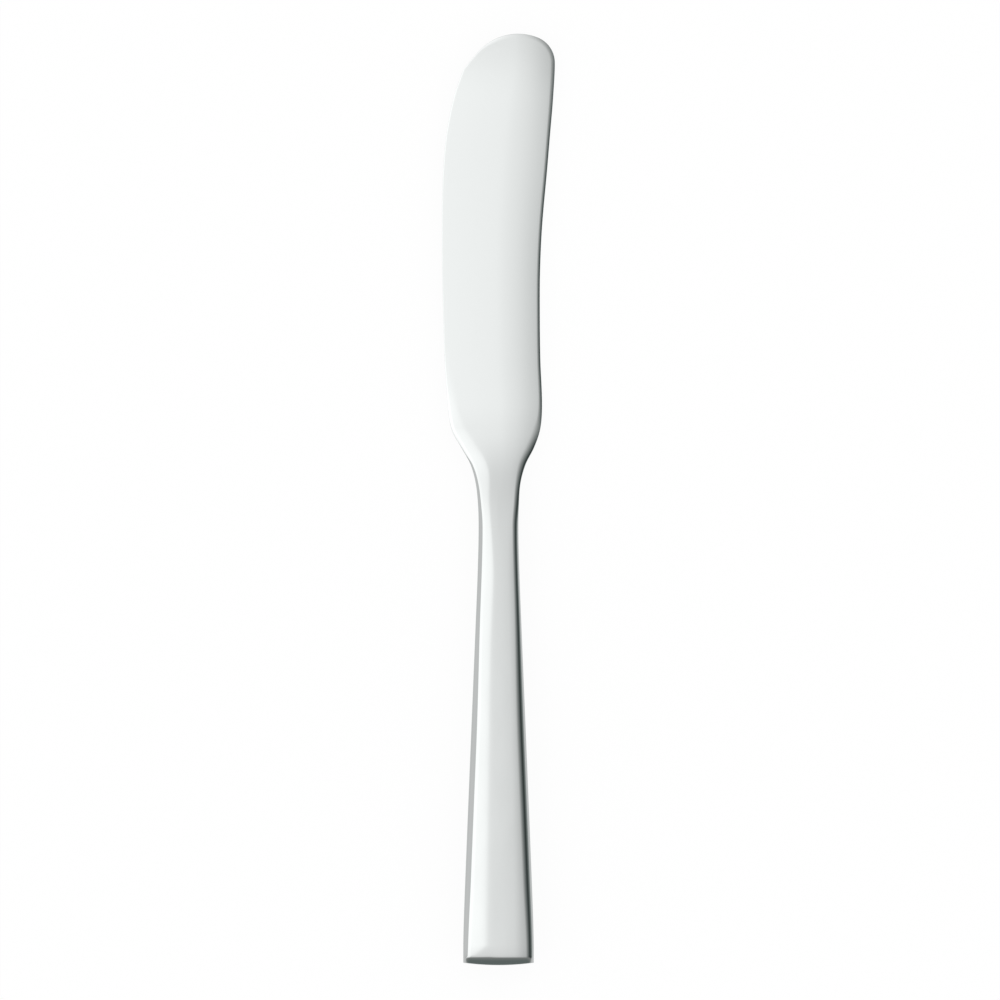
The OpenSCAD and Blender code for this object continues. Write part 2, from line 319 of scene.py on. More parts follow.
@dataclass(frozen=True)
class Section:
    """The knife's thickness: middle plane, faces, and the bevels that roll over to the rim."""

    plan: Plan = Plan()
    neck_thickness: float = 5.2
    handle_thickness: float = 7.4
    shell_wall: float = 1.0
    braze_gap: float = 0.12
    rest_flat: float = 0.04
    hollow_side_share: float = 0.3
    # the handle's faces, and how they change over the neck
    face_crown: float = 0.35
    neck_lean: float = 0.042
    lean_rise: Span = (70.0, 86.0)
    edge_crown_gain: float = 0.6
    spine_crown_loss: float = 0.85
    crown_rise: Span = (56.0, 80.0)
    shoulder_fall: Span = (88.0, 98.0)
    # the handle's side bevels: in the middle, at the neck and at the end
    side_bevel: float = 1.7
    neck_bevel: float = 1.15
    end_side_bevel: float = 1.42
    bevel_depth: float = 0.61
    neck_bevel_depth: float = 0.41
    end_side_depth: float = 0.51
    bevel_growth_share: float = 0.2
    narrowing_shares: Span = (0.5, 0.9)
    side_roll: float = 2.3
    # the bevel across the handle's end, and the soft fall of the face before it
    end_bevel: float = 1.5
    end_bevel_depth: float = 0.8
    end_roll: float = 1.2
    end_corner_share: float = 0.7
    end_bow: float = 0.45
    end_fall_length: float = 3.2
    end_fall: float = 0.15
    end_fall_power: float = 2.3
    # the blade's faces
    blade_thickness: float = 1.6
    edge_side_thickness: float = 1.3
    edge_thinning_power: float = 1.5
    ridge_share: float = 0.58
    spine_thinning_share: float = 0.48
    spine_thinning_power: float = 1.7
    thinning_length: float = 18.0
    # the roll along each rim of shoulders and blade: place, width, depth, power
    spine_rim: Table = ((80, 1.15, 0.41, 2.3), (84, 1.0, 0.27, 2.2), (88, 1.0, 0.2, 2.4),
                        (92, 1.5, 0.27, 3.0), (94.5, 1.6, 0.25, 3.0), (97.5, 1.4, 0.12, 2.6),
                        (100, 0.9, 0.12, 2.3), (104, 0.7, 0.13, 2.3), (145, 0.7, 0.13, 2.3),
                        (163, 0.8, 0.1, 2.0), (170, 0.8, 0.05, 2.0))
    edge_rim: Table = ((80, 1.15, 0.41, 2.3), (84, 1.0, 0.33, 2.4), (88, 0.9, 0.25, 2.4),
                       (92, 0.8, 0.18, 2.4), (96, 0.7, 0.13, 2.2), (100, 0.5, 0.06, 2.0),
                       (106, 0.2, 0.01, 1.8), (163, 0.2, 0.01, 1.8), (167, 0.3, 0.012, 1.8),
                       (170, 0.8, 0.05, 2.0))
    # the soft fall of the faces towards the edge, over shoulders and heel: place, width, slope
    soft_fall: Table = ((84, 2.4, 0.0), (87, 2.6, 0.012), (90, 2.9, 0.033), (94, 2.7, 0.028),
                        (96, 2.6, 0.031), (98, 2.5, 0.032), (100, 2.1, 0.03), (103, 1.6, 0.022),
                        (108, 1.1, 0.009), (115, 1.0, 0.0))
    soft_power: float = 1.3
    # the polished corners between the bevels and the sides
    handle_round: float = 0.05
    rim_round: float = 0.05

    @property
    def tilt(self) -> float:
        """How fast the middle plane sinks along the handle."""
        return (self.handle_thickness - self.neck_thickness) / 2 / self.plan.handle_length

    @property
    def joint_y(self) -> float:
        """Where the shells end and the braze of the neck starts."""
        return self.plan.handle_length - self.braze_gap

    def sink(self, y: Values) -> np.ndarray:
        """How far the middle plane has sunk: evenly along the handle, then levelling out.

        Over the shoulders the slope falls off evenly, so the plane there is a parabola.

        Args:
            y: places along the knife.

        Returns:
            The fall from the handle's end to each place.
        """
        u = np.clip(y - self.plan.handle_length, 0.0, self.plan.shoulder_length)
        level = u - u * u / 2 / self.plan.shoulder_length
        return self.tilt * (np.minimum(y, self.plan.handle_length) + level)

    def middle(self, y: Values) -> np.ndarray:
        """The height of the middle plane above the floor."""
        return self.handle_thickness / 2 - self.rest_flat - self.sink(y)

    def placed(self, x: np.ndarray, y: np.ndarray, offset: Values) -> np.ndarray:
        """Points in the knife's own frame, at an offset from the middle plane and not below the floor.

        Args:
            x: places across.
            y: places along, which the frame counts from the middle of the length.
            offset: heights above the middle plane, or below it where negative.

        Returns:
            The points, in metres.
        """
        x, y, z = np.broadcast_arrays(x, y, np.maximum(self.middle(y) + offset, 0.0))
        return np.stack([x, y - self.plan.overall_length / 2, z], axis=-1) * MM

    def bladeness(self, y: np.ndarray) -> np.ndarray:
        """0 on the handle, 1 on the blade, eased over the shoulders."""
        return ease((y - self.plan.handle_length) / self.thinning_length)

    def over_neck(self, y: np.ndarray, rise: Span) -> np.ndarray:
        """A share that grows from 0 to 1 between the two places of rise, and goes by the heel.

        Args:
            y: places along the knife.
            rise: where the share starts to grow, and where it is whole.

        Returns:
            The share at each place: the eased growth times one less the eased loss.
        """
        fall_from, fall_to = self.shoulder_fall
        risen = ease((y - rise[0]) / (rise[1] - rise[0]))
        return risen * (1 - ease((y - fall_from) / (fall_to - fall_from)))

    def handle_face(self, u: np.ndarray, y: np.ndarray, half: np.ndarray) -> np.ndarray:
        """Half the thickness of the handle's crowned face.

        Across, at the share u, it is a parabola. Over neck and shoulders it leans towards the spine,
        and its crown grows on the side of the edge and almost goes on the side of the spine.

        Args:
            u: shares across.
            y: places along.
            half: half the width there.

        Returns:
            Half the thickness at each point.
        """
        across, leaning = 2 * u - 1, self.over_neck(y, self.lean_rise)
        share = np.where(across < 0, 1 + self.edge_crown_gain * self.over_neck(y, self.crown_rise),
                         1 - self.spine_crown_loss * leaning)
        crown = self.face_crown * half / self.plan.handle_width * 2 * share
        lean = self.neck_lean * leaning * across * half
        return self.handle_thickness / 2 - self.sink(y) - crown * across ** 2 - lean

    def blade_face(self, u: np.ndarray, half: np.ndarray) -> np.ndarray:
        """Half the thickness of the blade: thickest at the ridge, thinner to the edge and the spine.

        To either side it falls by a power of the share of the way from the ridge. On the narrower
        shoulders it thins less towards the spine, so that the slope stays the same.

        Args:
            u: shares across.
            half: half the width there.

        Returns:
            Half the thickness at each point.
        """
        full, edge = self.blade_thickness / 2, self.edge_side_thickness / 2
        to_edge = np.clip(1 - u / self.ridge_share, 0.0, 1.0)
        left = full - (full - edge) * to_edge ** self.edge_thinning_power
        to_spine = np.clip((u - self.ridge_share) / (1 - self.ridge_share), 0.0, 1.0)
        heel_width = self.plan.heel_edge_reach + self.plan.heel_spine_reach
        thinning = self.spine_thinning_share * np.minimum(2 * half / heel_width, 1.0)
        right = full * (1 - thinning * to_spine ** self.spine_thinning_power)
        return np.where(u < self.ridge_share, left, right)

    def face(self, u: np.ndarray, y: np.ndarray, half: np.ndarray) -> np.ndarray:
        """Half the thickness of the faces, blended from handle to blade over the shoulders."""
        return mix(self.handle_face(u, y, half), self.blade_face(u, half), self.bladeness(y))

    def handle_bevel(self, y: np.ndarray) -> tuple[np.ndarray, np.ndarray]:
        """Width and depth of the handle's side bevels, which are smaller at both of its ends.

        Args:
            y: places along the handle.

        Returns:
            The width and the depth at each place.
        """
        t = y / self.plan.handle_length
        growth = ease(t / self.bevel_growth_share)
        start, stop = self.narrowing_shares
        narrowing = ease((t - start) / (stop - start))
        width = mix(self.end_side_bevel, mix(self.side_bevel, self.neck_bevel, narrowing), growth)
        depth = mix(self.end_side_depth, mix(self.bevel_depth, self.neck_bevel_depth, narrowing),
                    growth)
        return width, depth

    def blade_rim(self, table: Table, y: np.ndarray) -> tuple[np.ndarray, ...]:
        """Width, depth and power of the roll along one rim of the blade, read from its table."""
        return tuple(smooth_line(table, y, column=i) for i in (1, 2, 3))

    def corner_radius(self, y: np.ndarray) -> np.ndarray:
        """Radius of the polished corner between bevel and side."""
        return mix(self.handle_round, self.rim_round, self.bladeness(y))

    def softening(self, gap: np.ndarray, y: np.ndarray) -> np.ndarray:
        """How far the faces fall away softly towards the edge, over shoulders and heel.

        It is a power of the share of the width that is left, and has the table's slope at the rim.

        Args:
            gap: distances from the edge.
            y: places along the blade.

        Returns:
            The fall at each point.
        """
        at = np.clip(y, self.soft_fall[0][0], self.soft_fall[-1][0])
        width, slope = (smooth_line(self.soft_fall, at, column=i) for i in (1, 2))
        return slope * width / self.soft_power * self.fallen(gap, width, self.soft_power)

    def fallen(self, gap: np.ndarray, width: Values, power: Values) -> np.ndarray:
        """The share of a bevel's depth that is left to fall at the distance gap from the rim."""
        return (1 - np.clip(gap / width, 0.0, 1.0)) ** power


def closed_sheets(front: np.ndarray, back: np.ndarray,
                  folded: bool = False) -> tuple[np.ndarray, np.ndarray]:
    """A closed surface between two sheets of points with the same rows and columns.

    The quads of each sheet join neighbours in the grid, and four strips join the sheets' borders.

    Args:
        front: points of the outer sheet, rows by columns by 3.
        back: points of the inner sheet, in the same order.
        folded: whether the last row folds onto itself, and so needs no strip.

    Returns:
        The points, and the quads as rows of four indices.
    """
    rows, cols = front.shape[:2]
    grid = np.arange(rows * cols).reshape(rows, cols)
    other = grid + rows * cols
    quads = [np.stack([grid[:-1, :-1], grid[:-1, 1:], grid[1:, 1:], grid[1:, :-1]], axis=-1),
             np.stack([other[:-1, :-1], other[1:, :-1], other[1:, 1:], other[:-1, 1:]], axis=-1)]
    borders = [(grid[0], other[0]), (grid[:, 0], other[:, 0]), (grid[:, -1], other[:, -1])]
    if not folded:
        borders.append((grid[-1], other[-1]))
    for line, under in borders:
        quads.append(np.stack([line[:-1], under[:-1], under[1:], line[1:]], axis=-1))
    points = np.concatenate([front.reshape(-1, 3), back.reshape(-1, 3)])
    return points, np.concatenate([q.reshape(-1, 4) for q in quads])


def closed_ring(loops: np.ndarray) -> tuple[np.ndarray, np.ndarray]:
    """A closed ring: loops of points joined each to the next, and the last to the first.

    Args:
        loops: points, loops by points by 3.

    Returns:
        The points, and the quads as rows of four indices.
    """
    rows, cols = loops.shape[:2]
    grid = np.arange(rows * cols).reshape(rows, cols)
    down, right = np.roll(grid, -1, axis=0), np.roll(grid, -1, axis=1)
    quads = np.stack([grid, right, np.roll(right, -1, axis=0), down], axis=-1)
    return loops.reshape(-1, 3), quads.reshape(-1, 4)


def linked(name: str, data: bpy.types.ID) -> bpy.types.Object:
    """A new object that holds the data, linked to the scene.

    Args:
        name: the object's name.
        data: its mesh or camera.

    Returns:
        The object.
    """
    made = bpy.data.objects.new(name, data)
    bpy.context.scene.collection.objects.link(made)
    return made


def make_piece(name: str, points: np.ndarray, quads: np.ndarray, wear: np.ndarray) -> bpy.types.Object:
    """Makes a smooth-shaded object from points and quads, with its seams and poles merged.

    Args:
        name: the piece's name.
        points: its points, in metres.
        quads: rows of four indices.
        wear: 0 to 1 for each point, kept as the attribute "wear".

    Returns:
        The new object, linked to the scene.
    """
    mesh = bpy.data.meshes.new(name)
    mesh.from_pydata(points.tolist(), [], quads.tolist())
    layer = mesh.attributes.new("wear", "FLOAT", "POINT")
    layer.data.foreach_set("value", np.asarray(wear, np.float32).ravel())
    bm = bmesh.new()
    bm.from_mesh(mesh)
    bmesh.ops.remove_doubles(bm, verts=bm.verts, dist=MERGE_REACH)
    bmesh.ops.dissolve_degenerate(bm, edges=bm.edges, dist=SHORTEST_EDGE)
    bmesh.ops.recalc_face_normals(bm, faces=bm.faces)
    bm.to_mesh(mesh)
    bm.free()
    mesh.shade_smooth()
    mesh.set_sharp_from_angle(angle=math.radians(SHARP_DEGREES))
    return linked(name, mesh)


def grey(value: float) -> Colour:
    """A colour with the same value in red, green and blue."""
    return value, value, value


def rgba(colour: Colour, share: float = 1.0) -> tuple[float, float, float, float]:
    """A colour times a share, with full alpha."""
    return (*(c * share for c in colour), 1.0)


@dataclass(frozen=True)
class Grain:
    """A noise over a surface: grains to the metre on each axis, layers of detail, their strength."""

    to_the_metre: tuple[float, float, float]
    detail: float = 3.0
    roughness: float = 0.55


class Nodes:
    """A short way to build a node tree: each call adds a node, sets it and joins its inputs."""

    def __init__(self, tree: bpy.types.NodeTree) -> None:
        """Starts on an empty tree."""
        self.tree = tree
        tree.nodes.clear()

    def add(self, kind: str, inputs: dict[str | int, object] | None = None,
            **settings: object) -> bpy.types.Node:
        """Adds a node.

        Args:
            kind: the node's type.
            inputs: values or sockets, by the input's name or number.
            **settings: the node's own properties.

        Returns:
            The node.
        """
        node = self.tree.nodes.new(kind)
        for key, value in settings.items():
            setattr(node, key, value)
        for key, value in (inputs or {}).items():
            if isinstance(value, bpy.types.NodeSocket):
                self.tree.links.new(value, node.inputs[key])
            else:
                node.inputs[key].default_value = value
        return node

    def maths(self, operation: str, a: Socket | float, b: Socket | float = 0.0,
              clamp: bool = False) -> Socket:
        """A Math node's result."""
        return self.add("ShaderNodeMath", {0: a, 1: b}, operation=operation,
                        use_clamp=clamp).outputs[0]

    def between(self, value: Socket, low: float, high: float, to_low: float = 0.0,
                to_high: float = 1.0, **settings: object) -> Socket:
        """The value moved from one range to another, and held inside it."""
        return self.add("ShaderNodeMapRange", {"Value": value, "From Min": low, "From Max": high,
                        "To Min": to_low, "To Max": to_high}, **settings).outputs["Result"]

    def blended(self, factor: Socket | float, a: Socket | float, b: Socket | float) -> Socket:
        """Two numbers mixed by the factor: they are the node's inputs 2 and 3."""
        return self.add("ShaderNodeMix", {"Factor": factor, 2: a, 3: b}).outputs[0]

    def tinted(self, factor: Socket | float, a: Socket | tuple, b: Socket | tuple,
               **settings: object) -> Socket:
        """Two colours mixed by the factor: they are the node's inputs 6 and 7."""
        return self.add("ShaderNodeMix", {"Factor": factor, 6: a, 7: b}, data_type="RGBA",
                        **settings).outputs[2]

    def place(self) -> Socket:
        """Object coordinates, which are metres in the knife's own frame."""
        return self.add("ShaderNodeTexCoord").outputs["Object"]

    def noise(self, grain: Grain) -> Socket:
        """A noise texture's value, on object coordinates times the grain's scale on each axis."""
        spread = self.add("ShaderNodeMapping", {"Vector": self.place(), "Scale": grain.to_the_metre})
        return self.add("ShaderNodeTexNoise", {
            "Vector": spread.outputs[0], "Scale": 1.0, "Detail": grain.detail,
            "Roughness": grain.roughness}).outputs["Fac"]

    def surface(self, shader: bpy.types.Node, output: str = "ShaderNodeOutputMaterial") -> None:
        """Makes the shader what the tree shows."""
        self.add(output, {"Surface": shader.outputs[0]})


def new_material(name: str) -> tuple[bpy.types.Material, Nodes]:
    """A new material.

    Args:
        name: its name.

    Returns:
        The material, and its node tree, still empty.
    """
    made = bpy.data.materials.new(name)
    made.use_nodes = True
    return made, Nodes(made.node_tree)


@dataclass(frozen=True)
class PolishedSteel:
    """Polished steel with hairlines along the knife, faint wiping marks, duller worn rims and painted
    shade towards the neck.
    """

    name: str = "polished_steel"
    colour: Colour = (0.768, 0.789, 0.783)
    wiped_share: float = 0.975
    wiped_marks: Span = (0.35, 0.7)
    # painted shade: the colour is a little darker towards the neck, by this share over the span below
    neck_shade_share: float = 0.97
    neck_shade_span: Span = (52.0, 78.0)
    gloss: float = 0.065
    gloss_spread: float = 0.015
    gloss_marks: Span = (0.3, 0.72)
    worn_gloss: float = 0.16
    worn_scuffs: Span = (0.4, 0.65)
    marks: Grain = Grain((260.0, 90.0, 260.0), 4.0, 0.6)
    scuffs: Grain = Grain((3000.0, 1400.0, 3000.0))
    hairline_depth: float = 3e-7  # metres
    hairlines_per_mm: float = 7.0
    hairline_stretch: float = 45.0
    hairline_detail: float = 2.0
    half_length: float = Plan.overall_length / 2

    @property
    def hairlines(self) -> Grain:
        """The hairlines: fine across the knife, and drawn out along it."""
        across = self.hairlines_per_mm / MM
        return Grain((across, across / self.hairline_stretch, across), self.hairline_detail)

    def along_knife(self, nodes: Nodes, span: Span) -> Socket:
        """A share that is 0 before a span of the knife and 1 past it, eased between.

        Args:
            nodes: the tree to build in.
            span: the places where the share starts to grow, and where it is whole.

        Returns:
            The share.
        """
        y = nodes.add("ShaderNodeSeparateXYZ", {0: nodes.place()}).outputs[1]
        low, high = ((place - self.half_length) * MM for place in span)
        return nodes.between(y, low, high, interpolation_type="SMOOTHSTEP")

    def tint(self, nodes: Nodes, marks: Socket) -> Socket:
        """The metal's colour, a little darker where it has been wiped, and with painted shade towards
        the neck.

        Args:
            nodes: the tree to build in.
            marks: the wiping marks' noise.

        Returns:
            The colour.
        """
        wiped = nodes.tinted(nodes.between(marks, *self.wiped_marks), rgba(self.colour),
                             rgba(self.colour, self.wiped_share))
        return nodes.tinted(self.along_knife(nodes, self.neck_shade_span), wiped,
                            rgba(self.colour, self.neck_shade_share))

    def polish(self, nodes: Nodes, marks: Socket) -> Socket:
        """How rough the metal is: a little more so where it has been wiped."""
        return nodes.between(marks, *self.gloss_marks, self.gloss - self.gloss_spread,
                             self.gloss + self.gloss_spread)

    def material(self) -> bpy.types.Material:
        """Builds the material: hairlines as bump, wiping marks and worn rims as gloss.

        Returns:
            The material.
        """
        made, nodes = new_material(self.name)
        marks = nodes.noise(self.marks)
        wear = nodes.add("ShaderNodeAttribute", attribute_name="wear").outputs["Fac"]
        scuffs = nodes.between(nodes.noise(self.scuffs), *self.worn_scuffs)
        worn = nodes.maths("MULTIPLY", wear, scuffs, clamp=True)
        bump = nodes.add("ShaderNodeBump", {"Height": nodes.noise(self.hairlines), "Strength": 1.0,
                         "Distance": self.hairline_depth})
        nodes.surface(nodes.add("ShaderNodeBsdfPrincipled", {
            "Base Color": self.tint(nodes, marks), "Metallic": 1.0,
            "Roughness": nodes.blended(worn, self.polish(nodes, marks), self.worn_gloss),
            "Normal": bump.outputs[0]}))
        return made


@dataclass(frozen=True)
class SatinSteelWithPaintedLight(PolishedSteel):
    """The blade's steel: as polished as the handle on the neck and softer on its faces, with painted
    light that makes the faces paler and painted shade at the neck and the tip.
    """

    name: str = "satin_steel_with_painted_light"
    # painted light: the faces' colour is paler than the handle's steel
    lit_face_colour: Colour = (0.9, 0.924, 0.917)
    face_gloss: float = 0.15
    lit_face_span: Span = (88.0, 103.5)
    satin_span: Span = (84.0, 100.0)
    # painted shade: the faces' colour darkens towards the tip, by this share over the span below
    tip_shade_share: float = 0.9
    tip_shade_span: Span = (158.0, 171.0)

    def tint(self, nodes: Nodes, marks: Socket) -> Socket:
        """The handle's colour with its painted shade on the neck, the paler colour of painted light
        past the heel, and painted shade at the tip.

        Args:
            nodes: the tree to build in.
            marks: the wiping marks' noise, not used.

        Returns:
            The colour.
        """
        # painted light on the faces, darkened by painted shade towards the tip, then the neck's
        # painted shade
        face = nodes.tinted(self.along_knife(nodes, self.tip_shade_span), rgba(self.lit_face_colour),
                            rgba(self.lit_face_colour, self.tip_shade_share))
        return nodes.tinted(self.along_knife(nodes, self.lit_face_span),
                            rgba(self.colour, self.neck_shade_share), face)

    def polish(self, nodes: Nodes, marks: Socket) -> Socket:
        """The handle's polish on the neck, and the softer one on the faces."""
        return nodes.blended(self.along_knife(nodes, self.satin_span), super().polish(nodes, marks),
                             self.face_gloss)


@dataclass(frozen=True)
class SilverBraze(PolishedSteel):
    """Silver braze, polished flush with the shells and a touch warmer than they are."""

    name: str = "silver_braze_metal"
    colour: Colour = (0.765, 0.78, 0.765)
    gloss: float = 0.075


@dataclass(frozen=True)
class CementFill:
    """Grey handle cement: dull, sandy and pitted."""

    name: str = "handle_cement_fill"
    pale: Colour = (0.62, 0.6, 0.56)
    dark: Colour = (0.42, 0.4, 0.37)
    dullness: float = 0.85
    grains: Grain = Grain((2500.0, 2500.0, 2500.0), 5.0, 0.65)
    pale_grains: Span = (0.3, 0.7)
    grain_depth: float = 1e-4  # metres
    grain_strength: float = 0.6

    def material(self) -> bpy.types.Material:
        """Builds the material: two greys mixed by fine noise, and a sandy bump.

        Returns:
            The material.
        """
        made, nodes = new_material(self.name)
        grains = nodes.noise(self.grains)
        colour = nodes.tinted(nodes.between(grains, *self.pale_grains), rgba(self.dark),
                              rgba(self.pale))
        bump = nodes.add("ShaderNodeBump", {"Height": grains, "Strength": self.grain_strength,
                         "Distance": self.grain_depth})
        nodes.surface(nodes.add("ShaderNodeBsdfPrincipled", {
            "Base Color": colour, "Roughness": self.dullness, "Normal": bump.outputs[0]}))
        return made


@dataclass
class Blade:
    """Blade, shoulders, neck and hidden tang: one forging."""

    section: Section
    tang_length: float = 46.0
    tang_side_room: float = 0.75
    tang_face_room: float = 0.7
    tang_end_width: float = 2.6
    shoulder_rows: int = 80
    blade_rows: int = 150
    clip_rows: int = 12
    tip_rows: int = 64
    corner_columns: int = 5
    bevel_columns: int = 11
    face_columns: int = 44
    column_crowding: float = 1.15
    wear_reach: float = 0.45
    slope_step: float = 0.1

    def row_places(self) -> np.ndarray:
        """Where the cross rows stand: even steps to the clip, then even angles round the tip.

        Returns:
            Places along the knife.
        """
        plan = self.section.plan
        foot_y, top_y = plan.clip_foot[1], plan.clip_top[1]
        angles = np.linspace(math.pi / 2 - plan.clip_angle, math.pi / 2, self.tip_rows + 1)
        return np.concatenate([
            np.linspace(plan.handle_length, plan.heel_y, self.shoulder_rows, endpoint=False),
            np.linspace(plan.heel_y, foot_y, self.blade_rows, endpoint=False),
            np.linspace(foot_y, top_y, self.clip_rows, endpoint=False),
            plan.tip_centre_y + plan.tip_radius * np.sin(angles)])

    def rim_gaps(self, table: Table, y: np.ndarray) -> np.ndarray:
        """The distances from the outline of one rim's columns: the rounded corner, then the roll."""
        return band_gaps(self.section.corner_radius(y), self.section.blade_rim(table, y)[0],
                         self.corner_columns, self.bevel_columns, self.column_crowding)

    def plan_grid(self) -> tuple[np.ndarray, np.ndarray, np.ndarray]:
        """The grid of the faces in plan.

        Bands follow the outline: each point is the outline's point plus its gap times the inward
        normal. Between the two bands the rows run straight across.

        Returns:
            x, y and the gap to the outline, each rows by columns.
        """
        plan, section = self.section.plan, self.section
        y = self.row_places()
        left = np.stack([-plan.edge_reach(y), y], axis=1)
        right = np.stack([plan.spine_reach(y), y], axis=1)
        right[-1] = left[-1]
        line = np.concatenate([left, right[-2::-1]])
        run = np.gradient(line, axis=0)
        run[0], run[-1] = (0.0, 1.0), (0.0, -1.0)
        inward = np.stack([run[:, 1], -run[:, 0]], axis=1) / np.linalg.norm(run, axis=1)[:, None]
        count = len(y)
        left_gap = self.rim_gaps(section.edge_rim, y)
        right_gap = self.rim_gaps(section.spine_rim, y)
        left_band = left[:, None] + left_gap[..., None] * inward[:count][:, None]
        right_band = right[:, None] + right_gap[..., None] * inward[count - 1:][::-1][:, None]
        share = np.linspace(0.0, 1.0, self.face_columns + 1)[1:-1][None, :, None]
        middle = mix(left_band[:, -1:], right_band[:, -1:], share)
        grid = np.concatenate([left_band, middle, right_band[:, ::-1]], axis=1)
        open_gap = np.full(middle.shape[:2], plan.blade_width)
        return (grid[..., 0], grid[..., 1],
                np.concatenate([left_gap, open_gap, right_gap[:, ::-1]], axis=1))

    def half_thickness(self, x: np.ndarray, y: np.ndarray, gap: np.ndarray) -> np.ndarray:
        """Half the thickness: the face, less the soft fall, the roll still to fall and the corner.

        The soft fall is read at the distance square to the edge: the distance across, over the root
        of one plus the square of the edge's slope.

        Args:
            x: places across.
            y: places along.
            gap: distances from the outline, in the columns of the two rims.

        Returns:
            Half the thickness at each point.
        """
        section, plan = self.section, self.section.plan
        rows = self.row_places()[:, None]
        before_tip = np.minimum(y, plan.clip_foot[1])
        left, right = plan.edge_reach(before_tip), plan.spine_reach(before_tip)
        half = section.face(np.clip((x + left) / (left + right), 0.0, 1.0), y, (left + right) / 2)
        for side, table in ((slice(None, x.shape[1] // 2), section.edge_rim),
                            (slice(x.shape[1] // 2, None), section.spine_rim)):
            width, depth, power = section.blade_rim(table, rows)
            half[:, side] -= depth * section.fallen(gap[:, side], width, power)
        step = self.slope_step
        slope = (plan.edge_reach(rows + step) - plan.edge_reach(rows - step)) / 2 / step
        half -= section.softening((x + left) / np.sqrt(1 + slope * slope), rows)
        return half - edge_round(gap, section.corner_radius(rows))

    def tang_rows(self, x: np.ndarray) -> tuple[np.ndarray, np.ndarray]:
        """The tang's rows, from its blunt point to the joint: the neck's row scaled to its width.

        Args:
            x: the places across of the neck's row.

        Returns:
            x and y, rows by columns.
        """
        section, plan = self.section, self.section.plan
        root = plan.neck_width - 2 * (section.shell_wall + self.tang_side_room)
        point_y = plan.handle_length - self.tang_length
        places = np.array([point_y, point_y + self.tang_end_width, plan.handle_length])
        widths = np.array([self.tang_end_width / 2, self.tang_end_width, root])
        across = widths[:, None] / plan.neck_width * x
        return across, np.broadcast_to(places[:, None], across.shape)

    def build(self) -> bpy.types.Object:
        """Builds the forging as two sheets about the middle plane, closed round the rim.

        Returns:
            The blade.
        """
        section = self.section
        x, y, gap = self.plan_grid()
        half = self.half_thickness(x, y, gap)
        tang_x, tang_y = self.tang_rows(x[0])
        tang_half = section.neck_thickness / 2 - section.shell_wall - self.tang_face_room
        x, y = np.concatenate([tang_x, x]), np.concatenate([tang_y, y])
        half = np.concatenate([np.full(tang_x.shape, tang_half), half])
        worn = np.concatenate([np.zeros(tang_x.shape), ease(1 - gap / self.wear_reach)])
        x = np.clip(x, cad_box[0][0] / MM, cad_box[1][0] / MM)
        points, quads = closed_sheets(section.placed(x, y, half), section.placed(x, y, -half),
                                      folded=True)
        piece = make_piece("butter_knife_blade", points, quads, np.tile(worn.ravel(), 2))
        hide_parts("blade")
        return piece

    def dress(self, piece: bpy.types.Object) -> None:
        """Gives the forging its steel."""
        piece.data.materials.append(SatinSteelWithPaintedLight().material())


